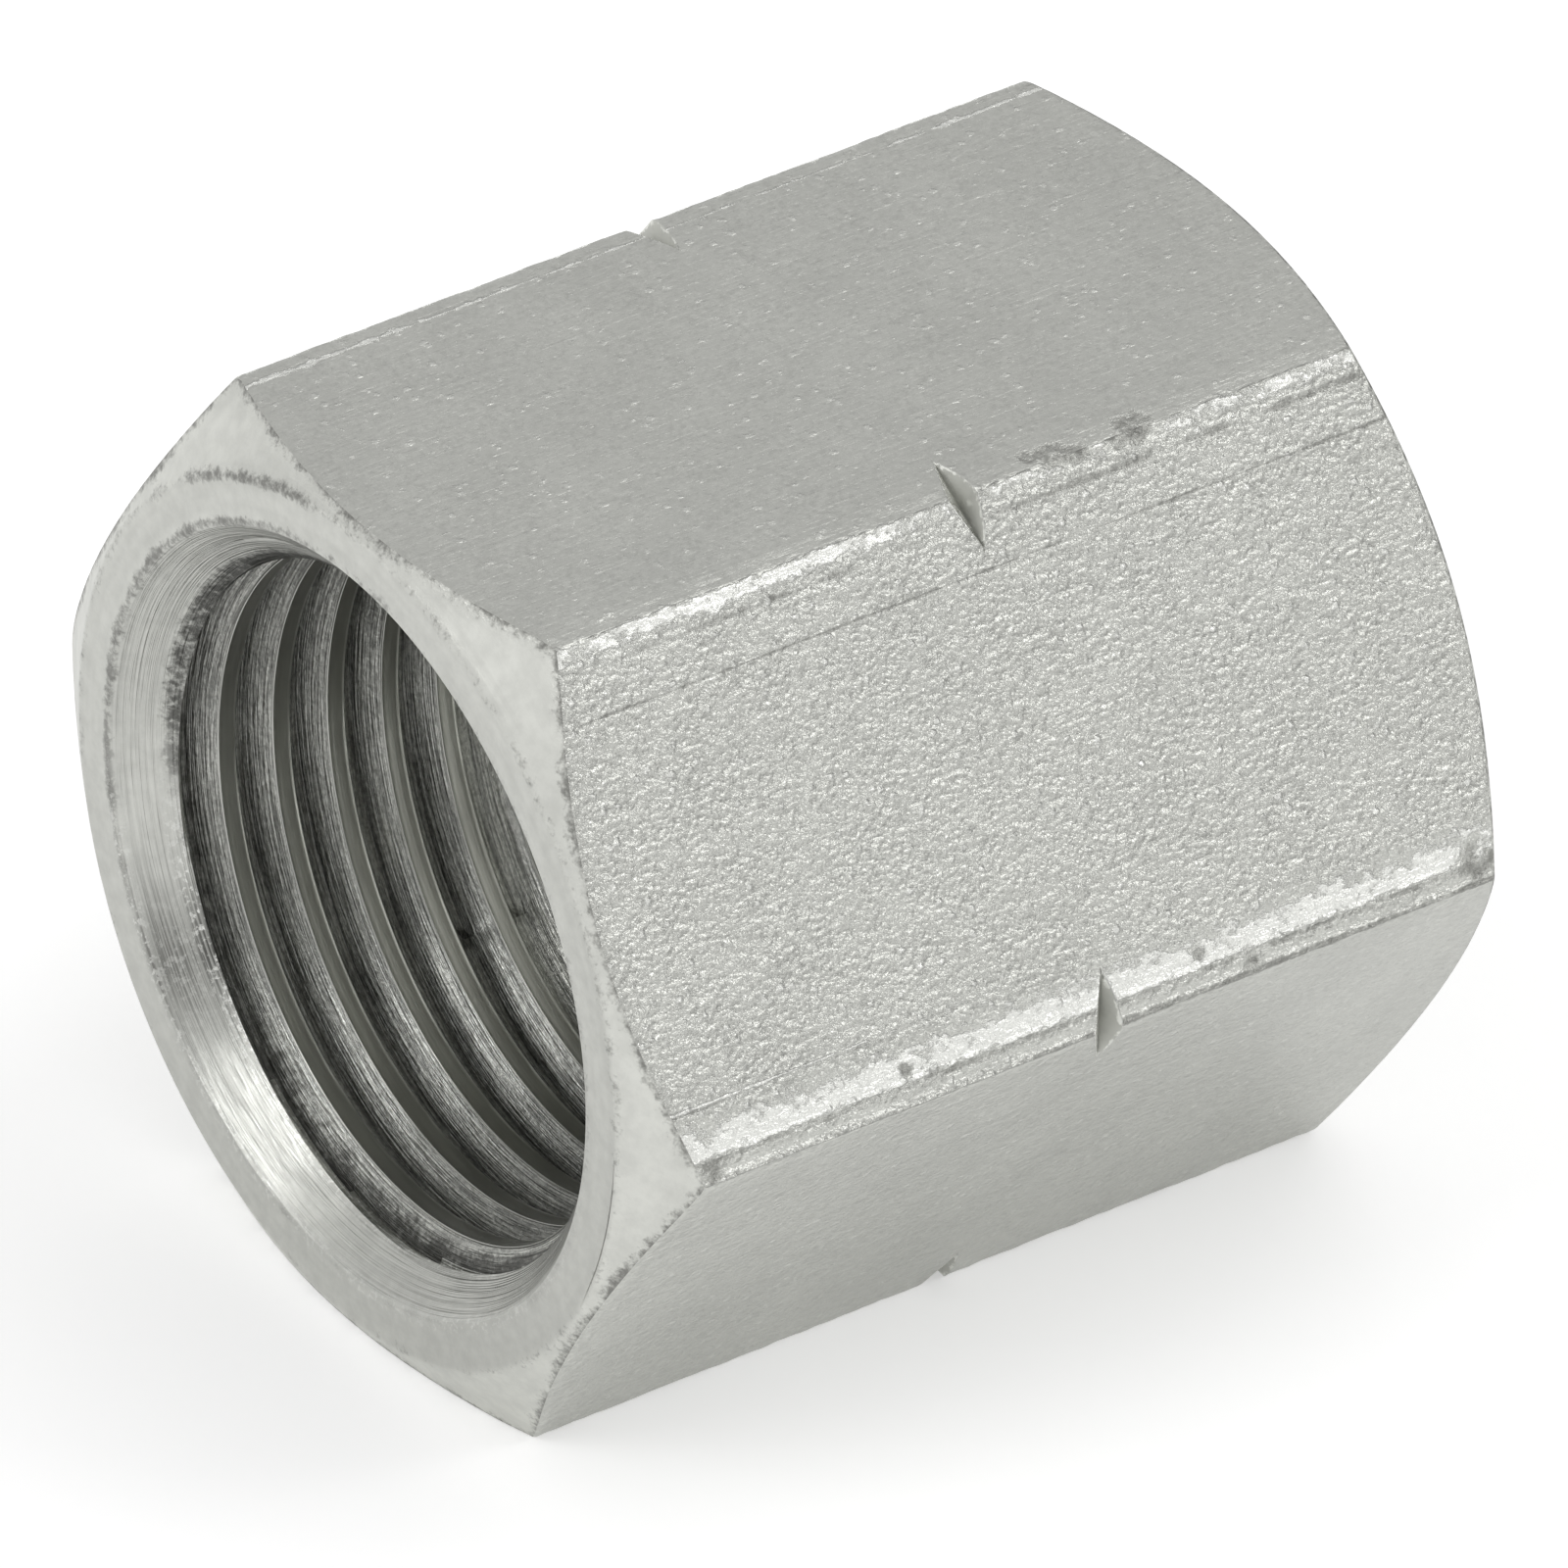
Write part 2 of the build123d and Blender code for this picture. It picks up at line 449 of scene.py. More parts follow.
sides = [(outer_radius(outer_angles, depth, reach), depth) for depth, reach in zip(rows, reaches)]
ring = add_outer_rings(ring, sides, DRAWN)

# Chamfer and face of the closed end
BACK_CHAMFER_SHARES = (1, 0.8, 0.6, 0.4, 0.2, 0)
CLOSED_END_RADII = (10.5, 9, 7, 5, 3, 1.5, 0.5)
chamfer = [LENGTH - (LENGTH - back_edge) * share for share in BACK_CHAMFER_SHARES]
chamfer[0] = chamfer[0] + EDGE_BREAK * EDGE_SHARE
chamfer = [(FACE_RADIUS + (LENGTH - depth) / CHAMFER_SLOPE, depth) for depth in chamfer]
ring = add_outer_rings(ring, chamfer, TURNED)
ring = add_outer_rings(ring, [(radius, LENGTH) for radius in CLOSED_END_RADII], TURNED)
close_ring(ring, LENGTH, TURNED)

# Faces of the inner grid that the countersink has reached are turned ones too
COUNTERSINK_DEPTH = 1.4
COUNTERSINK_MARGIN = 0.07
WELD_DISTANCE = 0.002 * MM
SHARP_ANGLE = math.radians(32)
cap_mesh = bpy.data.meshes.new("cap")
cap_mesh.from_pydata([Vector(p) * MM for p in points], [], [[int(v) for v in f] for f in faces])
for polygon, finish in zip(cap_mesh.polygons, finishes):
    x, y, z = polygon.center / MM
    depth = y + LENGTH / 2
    past_cone = math.hypot(x, z - APOTHEM) + depth > MOUTH_RADIUS - COUNTERSINK_MARGIN
    on_cone = depth < COUNTERSINK_DEPTH and past_cone
    polygon.material_index = TURNED if finish == TAPPED and on_cone else finish
shape = bmesh.new()
shape.from_mesh(cap_mesh)
bmesh.ops.remove_doubles(shape, verts=shape.verts, dist=WELD_DISTANCE)
bmesh.ops.recalc_face_normals(shape, faces=shape.faces)
shape.to_mesh(cap_mesh)
shape.free()
cap_mesh.shade_smooth()
cap_mesh.set_sharp_from_angle(angle=SHARP_ANGLE)
cap = bpy.data.objects.new("cap", cap_mesh)
bpy.context.scene.collection.objects.link(cap)

# Wear, and a dark reflection painted on the countersink, kept on the mesh for the finish to
# read. Each band along a corner is its corner, its edges along the flats, how soft each
# edge is, and its strength at five depths.
WEAR_DEPTHS = (0, 5, 9.5, 13.5, 24)
RUBBED_BANDS = (
    (0, 0.57, 1.3, 0.08, 0.4, (1, 1, 1, 0.9, 0.9)),
    (0, 1.79, 1.85, 0.03, 0.03, (1.0, 0.6, -0.5, -0.5, -0.5)),
    (1, -0.46, 0.06, 0.22, 0.12, (0.6, 0.75, 0.4, 0.1, 0.45)),
    (2, -0.6, -0.44, 0.08, 0.08, (0.9, 0.8, 0.4, 0.2, 0.7)),
    (2, -0.05, 0.2, 0.1, 0.1, (0.6, 0.4, 0.5, 0.3, 0.5)),
    (3, -0.35, 0.15, 0.15, 0.1, (0.7, 0.5, 0.6, 0.4, 0.6)),
    (4, -0.05, 0.35, 0.1, 0.15, (0.6, 0.8, 0.5, 0.6, 0.7)),
    (5, -0.4, 0.0, 0.1, 0.08, (0.7, 0.6, 0.8, 0.4, 0.6)),
)
PALE_BANDS = (
    (0, 0.06, 0.4, 0.06, 0.08, (0.6, 0.5, 0.5, 0.5, 0.5)),
    (0, 0.5, 1.8, 0.2, 0.7, (0.8, 0.7, 0.7, 0.7, 0.8)),
    (1, -0.45, 0.1, 0.2, 0.15, (0.8, 0.8, 0.6, 0.4, 0.6)),
    (3, -0.5, 0.3, 0.2, 0.2, (0.7, 0.5, 0.6, 0.4, 0.6)),
    (4, -0.3, 0.5, 0.2, 0.2, (0.6, 0.8, 0.5, 0.6, 0.7)),
    (5, -0.6, 0.2, 0.2, 0.2, (0.7, 0.6, 0.8, 0.4, 0.6)),
)
TORN_BANDS = (
    (0, -0.12, 0.12, 0.08, 0.08, (0.6, 0.55, 0.6, 1.4, 0.9)),
    (0, 0.32, 0.6, 0.1, 0.08, (0.8, 0.7, 0.7, 0.7, 0.8)),
    # This band darkens the colour along the crease below corner 1's bright strip
    (1, -0.88, -0.5, 0.2, 0.15, (0.6, 0.85, 0.6, 0.95, 0.95)),
    (1, -1.92, -1.74, 0.09, 0.09, (1.05, 1.0, 1.05, 0.9, 1.0)),
    (0, 1.71, 1.77, 0.03, 0.03, (0.85, 0.5, 0.3, 0.2, 0.4)),
    (2, -0.45, -0.05, 0.2, 0.1, (0.2, 0.2, 0.3, 0.1, 0.2)),
    (3, -0.55, -0.3, 0.1, 0.1, (0.5, 0.3, 0.4, 0.5, 0.3)),
    (4, 0.3, 0.5, 0.1, 0.1, (0.4, 0.5, 0.3, 0.5, 0.4)),
    (5, -0.6, -0.4, 0.1, 0.1, (0.3, 0.5, 0.4, 0.3, 0.5)),
)
SCARS = (  # corner, distance along the flats, depth, radius
    (0, 0.86, 6.8, 0.15),
    (0, 0.64, 7.55, 0.14),
    (0, 0.9, 14.9, 0.16),
    (0, 0.1, 16.2, 0.25),
    (0, 0.27, 1.35, 0.22),
    (0, 0.6, 22.6, 0.4),
    (1, 0.42, 14.2, 0.22),
    (1, 0.25, 14.75, 0.36),
    (1, 0.0, 15.3, 0.26),
    (1, 0.16, 17.0, 0.42),
    (1, -0.12, 16.4, 0.2),
    (3, 0.1, 8.0, 0.3),
    (4, 0.2, 17.5, 0.4),
)
FLAT_SKINS = (1.0, 0.3, 0.6, 0.8, 0.6, 0.35)  # roughness of the flats, from corner 0 round
NEAR_WALL_RUBBED = 0.35

# How torn the rings outside and inside the mouth's land are, at angles round the axis
OUTER_RING = (
    (0, 60, 92, 104, 122, 132, 190, 250, 360),
    (0.55, 0.5, 0.55, 1.0, 1.0, 0.6, 0.5, 0.3, 0.5),
)
LIP_RING = (
    (0, 60, 95, 120, 200, 222, 300, 360),
    (0.5, 0.4, 0.65, 0.95, 1.0, 0.6, 0.5, 0.5),
)

DARK_REFLECTION_ANGLE = 218  # a dark reflection is painted on the countersink about this angle
DARK_REFLECTION_SPREAD = 14
DARK_REFLECTION_DEPTH = 1.6
SEAM_WIDTH = 0.25  # of the torn seam where the chamfers meet the flats

places = np.zeros(len(cap_mesh.vertices) * 3)
cap_mesh.vertices.foreach_get("co", places)
places = places.reshape(-1, 3) / MM
depths = places[:, 1] + LENGTH / 2
radii = np.hypot(places[:, 0], places[:, 2] - APOTHEM)
angles = np.degrees(np.arctan2(places[:, 2] - APOTHEM, places[:, 0])) % 360
corners, offsets = nearest_corner(angles)
outside = radii > FACE_RADIUS + 0.02
across = np.abs(depths - NOTCH_POSITION)
reaches = np.where(depths < NOTCH_POSITION, notch_reach(angles, -1), notch_reach(angles, 1))
opened = outside & (reaches > 0.02)
in_notch = opened & (across < reaches + 0.01)
near_wall = in_notch & (depths < NOTCH_POSITION - 0.01)
far_rim = opened & (depths > NOTCH_POSITION) & (np.abs(across - reaches) < 0.02)


def banded(bands):
    """How far inside a band each point is: below nothing outside, and one well inside."""
    found = np.full(len(places), -1.0)
    for number, (corner, start, end, start_soft, end_soft, strengths) in enumerate(bands):
        inside = np.minimum((offsets - start) / start_soft, (end - offsets) / end_soft)
        waver = 0.35 * ripple(depths * 0.9, number * 5.1, 0.4)
        inside = np.minimum(inside, 1) + np.interp(depths, WEAR_DEPTHS, strengths) - 1 + waver
        found = np.where(corners == corner, np.maximum(found, inside), found)
    return np.clip(found, -1, 1)


# Each scar is a ring of torn metal about a middle that is less torn
scarred = np.zeros(len(places))
for corner, offset, depth, radius in SCARS:
    away = np.hypot(offsets - offset, depths - depth) / radius
    rim = np.clip(1.25 - 1.2 * np.abs(away - 0.7), 0, 1) * (away < 1.8)
    scarred = np.maximum(scarred, rim * (corners == corner))
rubbed = np.where(in_notch, -1, banded(RUBBED_BANDS) - scarred)
broken_rim = 0.2 + 1.3 * ripple(offsets * 3, depths * 4, corners * 3.0)
rubbed = np.where(far_rim, broken_rim, rubbed)
rubbed = np.where(near_wall, NEAR_WALL_RUBBED, rubbed)
# A dark reflection painted on the countersink, about one angle near the mouth
painted_dark_reflection = np.clip(1 - np.abs(angles - DARK_REFLECTION_ANGLE) / DARK_REFLECTION_SPREAD, 0, 1)
painted_dark_reflection = painted_dark_reflection * (radii < MOUTH_RADIUS + 0.02) * (depths < DARK_REFLECTION_DEPTH)
back_seam = LENGTH - end_profile(angles, True)
seam_depths = np.where(depths < LENGTH / 2, end_profile(angles, False), back_seam)
seam = np.clip(1 - np.abs(depths - seam_depths) / SEAM_WIDTH, 0, 1)

wear_and_shade_layers = {
    "rubbed": rubbed,
    "pale": np.where(in_notch, 0, np.clip(banded(PALE_BANDS), 0, 1)),
    "torn": np.where(in_notch, -1, np.maximum(banded(TORN_BANDS), 0.95 * scarred)),
    "notched": (in_notch & ~near_wall).astype(float),
    "seam": seam * outside,
    "painted_dark_reflection": painted_dark_reflection,
    "outer_ring": np.interp(angles, *OUTER_RING),
    "lip_ring": np.interp(angles, *LIP_RING),
    "skin": np.array(FLAT_SKINS)[(angles // 60).astype(int) % 6],
}
for name, values in wear_and_shade_layers.items():
    layer = cap_mesh.attributes.new(name, "FLOAT", "POINT")
    layer.data.foreach_set("value", values.astype(np.float32))

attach(cap, "root")
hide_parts("cap_body")

# --- The cap: its zinc finish --------------------------------------------------------
# Bright zinc over three kinds of surface: the drawn skin of the bar, faces turned on a
# lathe, and the tapped thread. All share the colours and the torn metal at worn edges.

ZINC = (0.62, 0.625, 0.588, 1)
RUBBED_ZINC = (0.92, 0.925, 0.885, 1)
TORN_AND_SHADED_ZINC = (0.3, 0.3, 0.28, 1)
TORN_THREAD = (0.15, 0.15, 0.14, 1)

# Relief that one unit of each finish's height stands for
DRAWN_PEAK = 0.1 * MM
TURNED_PEAK = 0.03 * MM
TAPPED_PEAK = 0.04 * MM


def add_node(tree, kind, inputs=None, **settings):
    """A shader node with its settings, and its inputs given as values or as sockets."""
    made = tree.nodes.new(kind)
    for name, value in settings.items():
        setattr(made, name, value)
    for name, value in (inputs or {}).items():
        if isinstance(value, bpy.types.NodeSocket):
            tree.links.new(value, made.inputs[name])
        else:
            made.inputs[name].default_value = value
    return made


def calculate(tree, operation, first, second=0.0, third=0.0):
    """Output of one Math node."""
    values = {0: first, 1: second, 2: third}
    return add_node(tree, "ShaderNodeMath", values, operation=operation).outputs[0]


def times(tree, first, second):
    """Product of two values."""
    return calculate(tree, "MULTIPLY", first, second)


def times_plus(tree, first, second, third):
    """Product of the first two values, plus the third."""
    return calculate(tree, "MULTIPLY_ADD", first, second, third)


def minus(tree, first, second):
    """Difference of two values."""
    return calculate(tree, "SUBTRACT", first, second)


def greater(tree, first, second):
    """The greater of two values."""
    return calculate(tree, "MAXIMUM", first, second)


def vector_math(tree, operation, *values):
    """Output of one Vector Math node."""
    inputs = dict(enumerate(values))
    return add_node(tree, "ShaderNodeVectorMath", inputs, operation=operation).outputs[0]


def group_node(tree, group, **inputs):
    """Outputs of a node that holds one of the shared groups."""
    return add_node(tree, "ShaderNodeGroup", inputs, node_tree=group).outputs


def ramp(tree, value, low, high, start=0.0, end=1.0):
    """Value eased from start to end as it goes from low to high."""
    values = {"Value": value, "From Min": low, "From Max": high, "To Min": start, "To Max": end}
    return add_node(tree, "ShaderNodeMapRange", values, interpolation_type="SMOOTHSTEP").outputs[0]


def cloud(tree, vector, scale, detail=2.0, roughness=0.5):
    """Noise at a number of features to the millimetre."""
    values = {"Vector": vector, "Scale": scale, "Detail": detail, "Roughness": roughness}
    return add_node(tree, "ShaderNodeTexNoise", values).outputs["Fac"]


def blend_colour(tree, share, first, second):
    """Colour between two others."""
    made = add_node(tree, "ShaderNodeMix", data_type="RGBA")
    for socket, value in (("Factor_Float", share), ("A_Color", first), ("B_Color", second)):
        found = next(s for s in made.inputs if s.identifier == socket)
        if isinstance(value, bpy.types.NodeSocket):
            tree.links.new(value, found)
        else:
            found.default_value = value
    return next(s for s in made.outputs if s.identifier == "Result_Color")


def new_group(name, inputs, outputs):
    """A shader node group with number inputs, and the sockets of its two end nodes."""
    group = bpy.data.node_groups.new(name, "ShaderNodeTree")
    for socket, value in inputs.items():
        made = group.interface.new_socket(socket, in_out="INPUT", socket_type="NodeSocketFloat")
        made.default_value = value
    for socket, kind in outputs.items():
        group.interface.new_socket(socket, in_out="OUTPUT", socket_type=kind)
    wanted = group.nodes.new("NodeGroupInput").outputs
    given = group.nodes.new("NodeGroupOutput").inputs
    return group, wanted, given


# Places on the part in millimetres from the centre of the mouth
place_group, _, given = new_group(
    "place",
    {},
    {"Place": "NodeSocketVector", "Radius": "NodeSocketFloat", "Depth": "NodeSocketFloat"},
)
coordinates = add_node(place_group, "ShaderNodeTexCoord").outputs["Object"]
mouth_shift = (0, LENGTH / 2, -APOTHEM)
scaled = vector_math(place_group, "MULTIPLY_ADD", coordinates, (1 / MM,) * 3, mouth_shift)
axes = add_node(place_group, "ShaderNodeSeparateXYZ", {0: scaled}).outputs
squares = [calculate(place_group, "POWER", axes[axis], 2.0) for axis in ("X", "Z")]
from_axis = calculate(place_group, "SQRT", calculate(place_group, "ADD", *squares))
place_group.links.new(scaled, given["Place"])
place_group.links.new(from_axis, given["Radius"])
place_group.links.new(axes["Y"], given["Depth"])

# Fine cutting marks round the axis. Lead is how far they advance in one turn.
marks_group, wanted, given = new_group(
    "cutting_marks",
    {"Fineness": 8.0, "Length": 0.4, "Lead": 0.0},
    {"Marks": "NodeSocketFloat", "Broad": "NodeSocketFloat"},
)
here = group_node(marks_group, place_group)
axes = add_node(marks_group, "ShaderNodeSeparateXYZ", {0: here["Place"]}).outputs
back_x, back_z = (times(marks_group, axes[axis], -1.0) for axis in ("X", "Z"))
turn = times(marks_group, calculate(marks_group, "ARCTAN2", back_z, back_x), 0.5 / math.pi)
advance = times_plus(marks_group, turn, wanted["Lead"], here["Depth"])
line = times(marks_group, minus(marks_group, here["Radius"], advance), wanted["Fineness"])
marks = {"Y": line}
for axis in ("X", "Z"):
    unit = calculate(marks_group, "DIVIDE", axes[axis], here["Radius"])
    marks[axis] = times(marks_group, unit, wanted["Length"])
vector = add_node(marks_group, "ShaderNodeCombineXYZ", marks).outputs[0]
slow = vector_math(marks_group, "MULTIPLY", vector, (1, 0.25, 1))
marks_group.links.new(cloud(marks_group, vector, 1.0, 3.0, 0.6), given["Marks"])
marks_group.links.new(cloud(marks_group, slow, 1.0, 2.0, 0.5), given["Broad"])

# Torn and pitted metal where Mask says, with the grit that breaks its edges up
torn_group, wanted, given = new_group(
    "torn_edge",
    {"Mask": 0.0, "Grain": 7.0},
    {"Torn": "NodeSocketFloat", "Grit": "NodeSocketFloat"},
)
here = group_node(torn_group, place_group)
grit = cloud(torn_group, here["Place"], wanted["Grain"], 3.0, 0.7)
patches = cloud(torn_group, here["Place"], 1.3, 2.0)
level = times_plus(torn_group, grit, 1.8, wanted["Mask"])
level = times_plus(torn_group, patches, 1.2, level)
shown = ramp(torn_group, level, 1.9, 2.7)
masked = ramp(torn_group, wanted["Mask"], 0.0, 0.2)
torn_group.links.new(times(torn_group, shown, masked), given["Torn"])
torn_group.links.new(grit, given["Grit"])


def new_finish(name, wear_and_shade_names):
    """A metal material: its tree, shader, places on the part, and layers of wear and painted
    shade.
    """
    material = bpy.data.materials.new(name)
    material.use_nodes = True
    tree = material.node_tree
    shader = tree.nodes["Principled BSDF"]
    shader.inputs["Metallic"].default_value = 1
    wear_and_shade = {
        layer: add_node(tree, "ShaderNodeAttribute", attribute_name=layer).outputs["Fac"]
        for layer in wear_and_shade_names
    }
    cap_mesh.materials.append(material)
    return tree, shader, group_node(tree, place_group), wear_and_shade


def add_bump(tree, shader, height, distance):
    """Gives a shader the relief of a height map."""
    values = {"Height": height, "Distance": distance, "Strength": 1.0}
    tree.links.new(add_node(tree, "ShaderNodeBump", values).outputs[0], shader.inputs["Normal"])


def ridge(tree, value, centre, half_width):
    """One at the centre, falling to nothing at half_width either side."""
    off = calculate(tree, "ABSOLUTE", minus(tree, value, centre))
    return ramp(tree, off, 0.0, half_width, 1.0, 0.0)


def drawn_out(tree, place, along_axis):
    """Places scaled along the part's axis, so that below one a noise is drawn out."""
    return vector_math(tree, "MULTIPLY", place, (1, along_axis, 1))


def shaded(tree, colour, share):
    """A colour made darker or lighter."""
    values = {"Vector": colour[:3], "Scale": share}
    return add_node(tree, "ShaderNodeVectorMath", values, operation="SCALE").outputs[0]


# Drawn skin of the bar: orange peel, painted lighter on one side of each bump and darker on
# the other, die lines, and worn corners
PEEL = {"scale": 6.5, "detail": 3.0, "roughness": 0.57}
# How far off the peel is sampled again for its painted light and shade
PEEL_LIGHT_SHIFT = (-0.02, -0.016, 0.036)
tree, shader, here, wear_and_shade = new_finish("drawn_zinc", ("rubbed", "pale", "torn", "notched", "skin"))
peel_place = drawn_out(tree, here["Place"], 0.8)
peel = cloud(tree, peel_place, **PEEL)
# The peel a little way off: its difference from the peel here paints light on one side of each
# bump and shade on the other
beside = cloud(tree, vector_math(tree, "ADD", peel_place, PEEL_LIGHT_SHIFT), **PEEL)
painted_peel_shade = ramp(tree, minus(tree, peel, beside), -0.22, 0.29, -0.22, 0.34)
swell = cloud(tree, drawn_out(tree, here["Place"], 0.7), 2.5, 1.0)
die_lines = cloud(tree, drawn_out(tree, here["Place"], 0.03), 6.0, 4.0, 0.7)
lumps = cloud(tree, drawn_out(tree, here["Place"], 0.6), 4.0, 4.0, 0.65)

# Bright specks, in patches: raised in the relief, and painted bright as glints
cell_values = {"Vector": here["Place"], "Scale": 2.2, "Randomness": 1.0}
cells = add_node(tree, "ShaderNodeTexVoronoi", cell_values).outputs["Distance"]
painted_glint_specks = ramp(tree, times_plus(tree, peel, -0.5, cells), -0.18, 0.02, 1.0, 0.0)
painted_glint_specks = times(tree, painted_glint_specks, wear_and_shade["skin"])
painted_glint_specks = times(tree, painted_glint_specks, ramp(tree, cloud(tree, here["Place"], 1.2), 0.38, 0.5))

# Worn metal: rubbed bright, pale, or torn
torn = group_node(tree, torn_group, Mask=wear_and_shade["torn"], Grain=6.0)
rubbed = times_plus(tree, lumps, 4.5, calculate(tree, "ADD", wear_and_shade["rubbed"], -2.25))
rubbed = ramp(tree, rubbed, -0.25, 0.45)
paler = times(tree, wear_and_shade["pale"], ramp(tree, lumps, 0.35, 0.65, 0.3, 1.0))
dark = times(tree, torn["Torn"], ramp(tree, rubbed, 0.0, 1.0, 0.85, 0.25))

# Tone of the plain metal: slow changes, painted shade in the peel's hollows, and painted
# light and shade on the two sides of each bump of the peel
mottle = ramp(tree, cloud(tree, here["Place"], 2.5, 4.0, 0.6), 0.3, 0.7, 0.975, 1.025)
broad = ramp(tree, cloud(tree, here["Place"], 0.35, 3.0), 0.2, 0.8, 0.96, 1.04)
tone = times(tree, times(tree, mottle, broad), times_plus(tree, paler, 0.22, 1.0))
plain = minus(tree, times_plus(tree, wear_and_shade["pale"], -1.6, 1.0), wear_and_shade["notched"])
skin = times(tree, wear_and_shade["skin"], greater(tree, plain, 0.0))
# Painted shade in the hollows of the peel
painted_hollow_shade = times(tree, ramp(tree, peel, 0.45, 0.36), skin)
tone = times(tree, tone, times_plus(tree, painted_hollow_shade, -0.15, 1.0))
# Painted light and shade on the two sides of each bump, stronger in patches
rough_patches = ramp(tree, cloud(tree, here["Place"], 0.9, 4.0, 0.7), 0.38, 0.6, 0.35, 1.1)
relief = times(tree, times(tree, minus(tree, painted_peel_shade, 0.04), skin), rough_patches)
tone = times(tree, tone, calculate(tree, "ADD", relief, 1.0))

# Rubbed wear, and the painted glints of the specks, turn the colour pale
light = greater(tree, times(tree, rubbed, 0.9), times(tree, painted_glint_specks, 0.7))
colour = blend_colour(tree, light, shaded(tree, ZINC, tone), RUBBED_ZINC)
tree.links.new(blend_colour(tree, dark, colour, TORN_AND_SHADED_ZINC), shader.inputs["Base Color"])
rough = times_plus(tree, dark, 0.15, 0.34)
rough = times_plus(tree, skin, -0.07, rough)
rough = times_plus(tree, wear_and_shade["notched"], 0.3, rough)
tree.links.new(rough, shader.inputs["Roughness"])
height = times(tree, times_plus(tree, swell, 0.8, peel), wear_and_shade["skin"])
height = times(tree, height, ramp(tree, wear_and_shade["pale"], 0.0, 1.0, 1.0, 0.5))
height = times_plus(tree, die_lines, 0.25, height)
height = times_plus(tree, painted_glint_specks, 0.5, height)
height = times_plus(tree, rubbed, times(tree, lumps, 0.9), height)
height = times_plus(tree, torn["Torn"], times_plus(tree, torn["Grit"], 1.5, -1.2), height)
height = times(tree, height, minus(tree, 1.0, wear_and_shade["notched"]))
add_bump(tree, shader, height, DRAWN_PEAK)

# Turned faces: the mouth's land and countersink, both chamfers and the closed end
tree, shader, here, wear_and_shade = new_finish("turned_zinc", ("seam", "painted_dark_reflection", "outer_ring", "lip_ring"))
cuts = group_node(tree, marks_group, Fineness=11.0, Length=1.4)
inside_mouth = ramp(tree, here["Radius"], MOUTH_RADIUS + 0.05, MOUTH_RADIUS - 0.1)
on_cone = times(tree, inside_mouth, ramp(tree, here["Depth"], 2.0, 1.5))
throat = times(tree, ramp(tree, here["Depth"], 0.65, 1.05), on_cone)
height_up = add_node(tree, "ShaderNodeSeparateXYZ", {0: here["Place"]}).outputs["Z"]

# Torn metal on both edges of the land, along the seams, and round the cone's throat
outer_ring = times(tree, ridge(tree, here["Radius"], FACE_RADIUS, 0.34), wear_and_shade["outer_ring"])
lip_ring = times(tree, ridge(tree, here["Radius"], MOUTH_RADIUS + 0.05, 0.32), wear_and_shade["lip_ring"])
mask = greater(tree, outer_ring, greater(tree, lip_ring, wear_and_shade["seam"]))
throat_mask = times(tree, throat, ramp(tree, height_up, -4.0, 1.0, 0.5, 1.05))
mask = greater(tree, mask, throat_mask)
torn = group_node(tree, torn_group, Mask=mask, Grain=6.0)

# Tone: lighter on the chamfers than on the land, and scored on the cone, most where its
# dark reflection is painted
tone = ramp(tree, cuts["Broad"], 0.25, 0.75, 0.96, 1.04)
past_land = ramp(tree, here["Radius"], FACE_RADIUS - 0.1, FACE_RADIUS + 0.1, 0.92, 1.04)
tone = times(tree, tone, past_land)
scoring_and_shade = times(tree, ramp(tree, cuts["Marks"], 0.52, 0.36), on_cone)
scoring_and_shade = times(tree, scoring_and_shade, times_plus(tree, wear_and_shade["painted_dark_reflection"], 0.4, 0.1))
tone = times(tree, tone, minus(tree, 1.03, scoring_and_shade))
mottle = ramp(tree, cloud(tree, here["Place"], 2.0, 5.0, 0.65), 0.3, 0.7, 0.96, 1.08)
colour = shaded(tree, ZINC, times(tree, tone, mottle))
# Painted dark reflection on the countersink, streaked by the cutting marks, with the torn metal;
# both take the torn colour
dark = times(tree, wear_and_shade["painted_dark_reflection"], ramp(tree, cuts["Marks"], 0.42, 0.58, 1.1, 0.45))
dark = greater(tree, dark, torn["Torn"])
torn_and_shade_colour = shaded(tree, TORN_AND_SHADED_ZINC, times_plus(tree, throat, -0.4, 0.8))
colour = blend_colour(tree, dark, colour, torn_and_shade_colour)

# Bright flakes, mostly low on the cone
flaking = times(tree, greater(tree, throat, lip_ring), ramp(tree, height_up, 1.0, -5.0, 0.0, 0.9))
flaking = greater(tree, flaking, times(tree, wear_and_shade["painted_dark_reflection"], 0.3))
flakes = times(tree, ramp(tree, torn["Grit"], 0.5, 0.62), flaking)
tree.links.new(blend_colour(tree, flakes, colour, RUBBED_ZINC), shader.inputs["Base Color"])
tree.links.new(times_plus(tree, on_cone, -0.1, 0.38), shader.inputs["Roughness"])
height = times(tree, cuts["Marks"], times_plus(tree, on_cone, 1.3, 0.1))
height = times_plus(tree, torn["Grit"], times(tree, mask, 0.8), height)
add_bump(tree, shader, height, TURNED_PEAK)

# Tapped thread: cutting marks that follow the helix, painted shade in the groove's roots,
# smooth crests with rubbed edges, and a first turn that the countersink has torn
tree, shader, here, _ = new_finish("tapped_zinc", ())
cuts = group_node(tree, marks_group, Fineness=14.0, Length=4.0, Lead=PITCH)
on_flank = ramp(tree, here["Radius"], BORE_RADIUS + 0.01, BORE_RADIUS + 0.05)
painted_root_shade = ramp(tree, here["Radius"], 8.55, 8.95)
streaks_and_root_shade = ramp(tree, cuts["Marks"], 0.36, 0.64, 0.5, 1.12)
